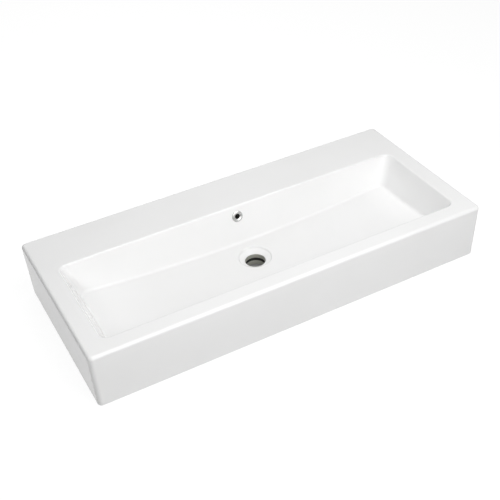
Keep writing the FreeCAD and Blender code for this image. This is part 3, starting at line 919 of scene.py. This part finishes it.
def is_raw(centre):
    """Whether a face of the ceramic lies where no glaze was laid: foot, hollow or bore, whose clay is
    painted grey as shade.
    """
    x, y, z = centre
    # Painted shade: the bore below the seat's edge takes raw clay, which is painted grey there
    shaded_bore = math.hypot(x, y) < BOSS_RADIUS and z < FLOOR_HEIGHT - SEAT_DEPTH - DRAIN_EDGE_RADIUS
    drop = HEIGHT - z
    taper = WALL_TAPER * drop / HEIGHT + APRON_WALL / 2
    within_apron = abs(x) < HALF_WIDTH - taper and FRONT + taper < y < REAR - APRON_WALL / 2
    side = (abs(x) - HALF_WIDTH + SIDE_RIM + drop * END_LEAN_SHARE) / END_SLANT_SHARE
    front = (FRONT + FRONT_RIM + drop * LONG_LEAN_SHARE - y) / LONG_SLANT_SHARE
    behind = (y - behind_wall(0, z)) / LONG_SLANT_SHARE
    under = float(floor_height(np.array([[x, y]]))[0]) - z
    outside_bowl = max(side, front, behind, under) > BOWL_WALL / 2 and math.hypot(x, y) > SEAT_RADIUS
    hollow = within_apron and outside_bowl and z < HEIGHT - RIM_THICKNESS / 2
    return shaded_bore or hollow or z < FOOT_EDGE_RADIUS / 2


def is_passage(centre):
    """Whether a face of the ceramic lies inside the overflow passage or the ring round the waste hole,
    where shade is painted.
    """
    x, y, z = centre
    slack = DUCT_SKIN / 2
    ring = CAVITY_FOOT - SAME_POINT < z < CAVITY_TOP + SAME_POINT
    if math.hypot(x, y) < CAVITY_RADIUS + slack and ring:
        return True
    depth = (y - behind_wall(0, z)) / LONG_SLANT_SHARE
    low, top = CAVITY_FOOT - slack, HEIGHT - OVERFLOW_DROP + DUCT_HEADROOM + slack
    within = abs(x) < DUCT_WIDTH / 2 + slack and low < z < top and y > DRAIN_RADIUS
    under = z < CAVITY_TOP + slack or depth > BOWL_WALL / 2
    return within and under and depth < BOWL_WALL + DUCT_GAP + slack


def is_overflow_hole(centre):
    """Whether a face of the ceramic, in the trim's own frame, lies in the hole that the trim sits in."""
    x, y, z = centre
    return math.hypot(x, y) < OVERFLOW_RADIUS + SAME_POINT and -BOWL_WALL < z < 0


def ceramic_finish(centre, in_trim):
    """Which finish a face of the ceramic wears, by its centre in the basin's frame and in the trim's."""
    if is_overflow_hole(in_trim):
        return GLAZED
    if is_passage(centre):
        return PAINTED_SHADE
    return RAW if is_raw(centre) else GLAZED


def dress_ceramic(piece, glazed, raw, passage_shade):
    """Give the ceramic its glaze, raw clay where it has none, and clay painted dark as shade inside the
    overflow passage.
    """
    piece.data.materials.clear()
    for material in (glazed, raw, passage_shade):
        piece.data.materials.append(material)
    to_trim = overflow_place().inverted()
    for face in piece.data.polygons:
        face.material_index = ceramic_finish(face.center, to_trim @ face.center)


# Studio

def light_path_share(tree):
    """One where a camera, mirror or glass ray looks, so that it sees the plain white background."""
    rays = add_node(tree, "ShaderNodeLightPath").outputs
    seen = rays["Is Camera Ray"]
    for kind in ("Is Glossy Ray", "Is Transmission Ray"):
        seen = work_out(tree, "MAXIMUM", seen, rays[kind])
    return seen


def open_floor(tree):
    """One on the open floor, and a small share under the basin, where it lies in the dark."""
    place = add_node(tree, "ShaderNodeTexCoord").outputs["Object"]
    reach = add_node(tree, "ShaderNodeVectorMath", {0: place}, operation="ABSOLUTE").outputs["Vector"]
    hollow = (HALF_WIDTH - APRON_WALL, REAR - APRON_WALL, HEIGHT)
    shares = add_node(tree, "ShaderNodeVectorMath", {0: reach, 1: hollow}, operation="DIVIDE")
    part = add_node(tree, "ShaderNodeSeparateXYZ", {"Vector": shares.outputs["Vector"]}).outputs
    further = work_out(tree, "MAXIMUM", part["X"], part["Y"])
    clear = work_out(tree, "GREATER_THAN", further, 1.0)
    return work_out(tree, "MAXIMUM", clear, COVERED_SHARE)


def studio_floor():
    """A wide pale floor that looks white and keeps the basin's shadow."""
    made = bmesh.new()
    bmesh.ops.create_grid(made, x_segments=1, y_segments=1, size=FLOOR_SIZE / 2)
    floor = add_object(finish_bmesh("studio_floor", made))
    material = bpy.data.materials.new("studio_floor")
    material.use_nodes = True
    tree = material.node_tree
    tree.nodes.remove(tree.nodes["Principled BSDF"])
    pale = add_node(tree, "ShaderNodeBsdfDiffuse", {"Color": FLOOR_PALE})
    shaded = add_node(tree, "ShaderNodeBsdfDiffuse", {"Color": FLOOR_SHADED})
    strength = work_out(tree, "MULTIPLY", open_floor(tree), FLOOR_GLOW_SHARE)
    glow = add_node(tree, "ShaderNodeEmission", {"Color": WHITE, "Strength": strength})
    seen = add_node(tree, "ShaderNodeAddShader", {0: shaded.outputs["BSDF"], 1: glow.outputs["Emission"]})
    mix = add_node(tree, "ShaderNodeMixShader",
                   {"Fac": light_path_share(tree), 1: pale.outputs["BSDF"], 2: seen.outputs["Shader"]})
    tree.links.new(mix.outputs["Shader"], tree.nodes["Material Output"].inputs["Surface"])
    floor.data.materials.append(material)


def studio_world():
    """Soft even light from all round, and a white background for what the camera and mirrors see."""
    world = bpy.data.worlds.new("studio")
    world.use_nodes = True
    tree = world.node_tree
    seen = add_node(tree, "ShaderNodeBackground", {"Color": WHITE, "Strength": 1.0})
    fill = tree.nodes["Background"]
    fill.inputs["Color"].default_value = WHITE
    fill.inputs["Strength"].default_value = WORLD_FILL
    mix = add_node(tree, "ShaderNodeMixShader", {
        "Fac": light_path_share(tree), 1: fill.outputs["Background"], 2: seen.outputs["Background"],
    })
    tree.links.new(mix.outputs["Shader"], tree.nodes["World Output"].inputs["Surface"])
    bpy.context.scene.world = world


def outward(azimuth, elevation):
    """The direction from the basin to something right of its front and up from the floor, by two angles."""
    return Vector((math.sin(azimuth) * math.cos(elevation),
                   -math.cos(azimuth) * math.cos(elevation), math.sin(elevation)))


def studio_lamp(name, azimuth, elevation, distance, size, watts):
    """A square soft box that faces the basin."""
    light = bpy.data.lights.new(name, "AREA")
    light.energy = watts
    light.size = size
    lamp = bpy.data.objects.new(name, light)
    bpy.context.scene.collection.objects.link(lamp)
    away = outward(math.radians(azimuth), math.radians(elevation))
    lamp.location = Vector((0, 0, HEIGHT / 2)) + distance * away
    lamp.rotation_mode = "QUATERNION"
    lamp.rotation_quaternion = away.to_track_quat("Z", "Y")
    # A lamp behind the basin is kept out of the glaze, where it would show as a patch on the deck
    lamp.visible_glossy = away.y < 0


def photo_camera():
    """A camera at the photograph's angle and framing."""
    back = outward(CAMERA_AZIMUTH, CAMERA_ELEVATION)
    level_right = Vector((math.cos(CAMERA_AZIMUTH), math.sin(CAMERA_AZIMUTH), 0))
    level_up = back.cross(level_right)
    right = math.cos(CAMERA_ROLL) * level_right + math.sin(CAMERA_ROLL) * level_up
    up = back.cross(right)
    place = CAMERA_ASIDE * right + CAMERA_ABOVE * up + CAMERA_DISTANCE * back
    camera = bpy.data.cameras.new("photo_camera")
    camera.sensor_width = SENSOR_WIDTH
    camera.lens = FOCAL_PIXELS / IMAGE_PIXELS * SENSOR_WIDTH
    camera.shift_x = SHIFT_RIGHT_PIXELS / IMAGE_PIXELS
    camera.shift_y = SHIFT_UP_PIXELS / IMAGE_PIXELS
    holder = bpy.data.objects.new("photo_camera", camera)
    bpy.context.scene.collection.objects.link(holder)
    turn = Matrix((right, up, back)).transposed().to_4x4()
    holder.matrix_world = Matrix.Translation(place) @ turn
    bpy.context.scene.camera = holder


def hand_over(piece, body, node):
    """Say which body a piece moves with, and hide the node it stands for."""
    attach(piece, body)
    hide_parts(node)


uneven = uneven_surface()
basin = ceramic_body()
dress_ceramic(basin, glaze(uneven), raw_clay(uneven), passage_painted_shade(uneven))
hand_over(basin, "basin", "basin_body")
turning = turning_tree()
hand_over(overflow_ring(turning, chrome(uneven)), "overflow_trim", "overflow_ring")
hand_over(overflow_gasket(turning, rubber(uneven)), "overflow_trim", "overflow_gasket")
hand_over(overflow_collar(collar_tree(), nylon(uneven)), "overflow_trim", "overflow_collar")

bpy.context.scene.view_settings.view_transform = "Standard"
studio_floor()
studio_world()
for lamp in LAMPS:
    studio_lamp(*lamp)
photo_camera()
